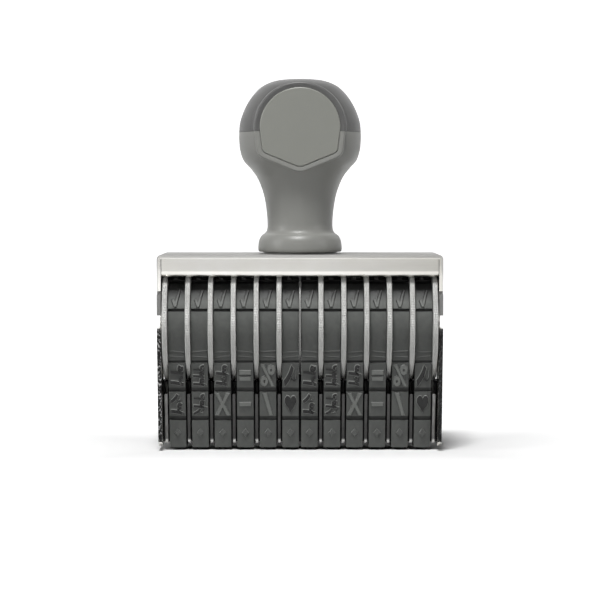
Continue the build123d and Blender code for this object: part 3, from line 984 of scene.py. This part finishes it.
def bezel(groove):
    """The bezel with its flare and cove outside and a groove down to the badge inside."""
    quarter = [radians(90 - 10 * step) for step in range(10)]
    cove = [(flare * (1 - cos(turn)), bezel_round + cove_depth * sin(turn)) for turn in quarter]
    rounding = [(bezel_round * (sin(turn) - 1), bezel_round * (1 - cos(turn))) for turn in quarter[1:]]
    section = [(flare, flare_depth), *cove, *rounding, *groove]
    profile = [(bezel_width + growth, bezel_face - drop) for growth, drop in section]
    return as_mesh(shield_shape(profile, "bezel"))


def handle_shell(name, groove, above):
    """The part of the grip and of the bezel on one side of the parting line."""
    half = bmesh.new()
    level = (frame_top + parting_height + (1 if above else -1) * parting_gap / 2) * mm
    sides = {"clear_inner": above, "clear_outer": not above}
    for mesh in (grip, bezel(groove)):
        part = bmesh.new()
        part.from_mesh(mesh)
        whole = [*part.verts, *part.edges, *part.faces]
        found = bmesh.ops.bisect_plane(part, geom=whole, plane_co=(0, 0, level), plane_no=(0, 0, 1), **sides)
        rim = [edge for edge in found["geom_cut"] if isinstance(edge, bmesh.types.BMEdge)]
        bmesh.ops.contextual_create(part, geom=rim)
        bmesh.ops.recalc_face_normals(part, faces=part.faces)
        half.from_mesh(mesh_of(part, name))
    mesh = mesh_of(half, name)
    mesh.shade_smooth()
    mesh.set_sharp_from_angle(angle=radians(32))
    return mesh


def moulded(name, colour, worn):
    """Moulded plastic with a soft sheen, faint flow marks and a fine orange peel."""
    plastic = Finish(name, {"Coat Roughness": 0.25, "Specular IOR Level": 0.5})
    flow = plastic.grain(9, (1, 1, 2.5), detail=3)
    touched = plastic.ramp(plastic.grain(4, detail=5), (0.45, 0), (0.8, 1))
    return plastic.varied(
        base_color=plastic.between(flow * 0.8, colour, worn),
        roughness=0.36 + touched * 0.1 + plastic.grain(0.5) * 0.04,
        relief=plastic.grain(0.55, detail=2),
        depth=0.012,
    )


body_plastic = moulded("handle_plastic", (0.262, 0.264, 0.246), (0.238, 0.238, 0.225))
cap_plastic = moulded("cap_plastic", (0.118, 0.118, 0.116), (0.104, 0.104, 0.102))
grip = turned_grip()
body = handle_shell("handle_body", body_groove, above=False)
cap = handle_shell("handle_cap", cap_groove, above=True)
laid("handle_body_moulded", body, body_plastic, "stamp", "handle_body")
laid("handle_cap_moulded", cap, cap_plastic, "stamp", "handle_cap")

# ------------------------------------------------------------------------------------ badge and screw
# The badge is a flat moulded plate, cemented in the bezel, with its edge bevelled and its face left
# bare. The screw that holds the handle has a low slotted head, right under the frame's top.

badge_plastic = moulded("badge_plastic", (0.265, 0.269, 0.244), (0.25, 0.254, 0.231))
badge_profile = [
    (0.0, badge_back), (0.0, badge_face - badge_edge), (-0.03, badge_face - badge_edge * 0.6),
    (-badge_edge * 0.75, badge_face - 0.03), (-badge_edge, badge_face),
]  # fmt: skip
badge = as_mesh(shield_shape(badge_profile, "badge"), 25)
laid("handle_badge_plain", badge, badge_plastic, "stamp", "handle_badge")
finished("handle_screw", turned_steel)

# ------------------------------------------------------------------------------------ stage
# A white table that runs up into a white wall, a lamp above the front, a weaker one at either side,
# and a long lens level with the neck of the handle. Its sizes are in metres.


def sheet_of_paper(steps=16):
    """The floor and the wall behind as one sheet with a wide bend, a hair below the type."""
    bend, front, back, half_width, wall = 0.25, -0.7, 0.7, 1.6, 1.4
    line = [(front, 0.0), (back, 0.0)]
    for turn in [pi / 2 * step / steps for step in range(1, steps + 1)]:
        line.append((back + bend * sin(turn), bend * (1 - cos(turn))))
    line.append((back + bend, wall))
    paper = bmesh.new()
    rows = [[paper.verts.new((x, y, z - 0.02 * mm)) for x in (-half_width, half_width)] for y, z in line]
    for low, high in zip(rows, rows[1:]):
        paper.faces.new((low[0], low[1], high[1], high[0]))
    mesh = mesh_of(paper, "paper")
    mesh.shade_smooth()
    return mesh


# The paper glows a little behind the stamp and beside its foot, and keeps its shadow below it
foot_half_length, foot_half_depth = 0.034, 0.01
white = Finish("white_paper", {"Roughness": 0.9, "Specular IOR Level": 0.1, "Emission Strength": 1.0})
shown = white.shown()
depth = white.place("Y")
behind = white.rising(depth, 0.02, 0.25, 0.0, 0.6)
beside_foot = (abs(white.place("X")) - foot_half_length).or_larger(abs(depth) - foot_half_depth)
beside_foot = white.rising(beside_foot, 0.0, 0.03, 0.0, 0.25)
paper_tone = white.between(white.rising(depth, -0.32, -0.18), (0.4, 0.4, 0.4), (0.9, 0.9, 0.9))
white.varied(
    base_color=white.between(shown, (0.48, 0.48, 0.48), paper_tone),
    emission_color=white.between(shown * (behind + beside_foot), (0.0, 0.0, 0.0), (1.0, 1.0, 1.0)),
)
backdrop = linked("backdrop", sheet_of_paper())
backdrop.data.materials.append(white.material)

stamp_middle = Vector((0, 0, 0.045))


def lamp(name, place, size, watts):
    """A soft lamp that looks at the middle of the stamp."""
    light = bpy.data.lights.new(name, "AREA")
    light.shape, light.size, light.size_y, light.energy = "RECTANGLE", *size, watts
    lit = linked(name, light)
    lit.location = place
    lit.rotation_euler = (stamp_middle - Vector(place)).to_track_quat("-Z", "Y").to_euler()


lamp("key", (-0.06, -0.365, 0.755), (0.18, 0.18), 6.2)
lamp("left", (-0.7, -0.3, 0.3), (0.3, 0.4), 1.6)
lamp("right", (0.7, -0.35, 0.3), (0.3, 0.4), 0.65)

sky = bpy.data.worlds.new("studio")
bpy.context.scene.world = sky
studio = Finish("studio", {"Color": (1, 1, 1, 1)}, sky)
dim_above = studio.rising(studio.place("Z", "Generated"), 0.15, 0.7, 0.75, 0.1)
seen = studio.node("ShaderNodeLightPath", {}, {}, "Is Camera Ray")
studio.plug(studio.surface.inputs["Strength"], 0.06 + studio.shown() * dim_above + seen)

lens = bpy.data.cameras.new("camera")
lens.lens, lens.sensor_width, lens.clip_start = 131.3, 36, 0.01
camera = linked("camera", lens)
camera.location = (0.0, -0.5, 0.0574)
camera.rotation_euler = (radians(90 - 2.695), 0, 0)
bpy.context.scene.camera = camera
bpy.context.scene.view_settings.view_transform = "Standard"
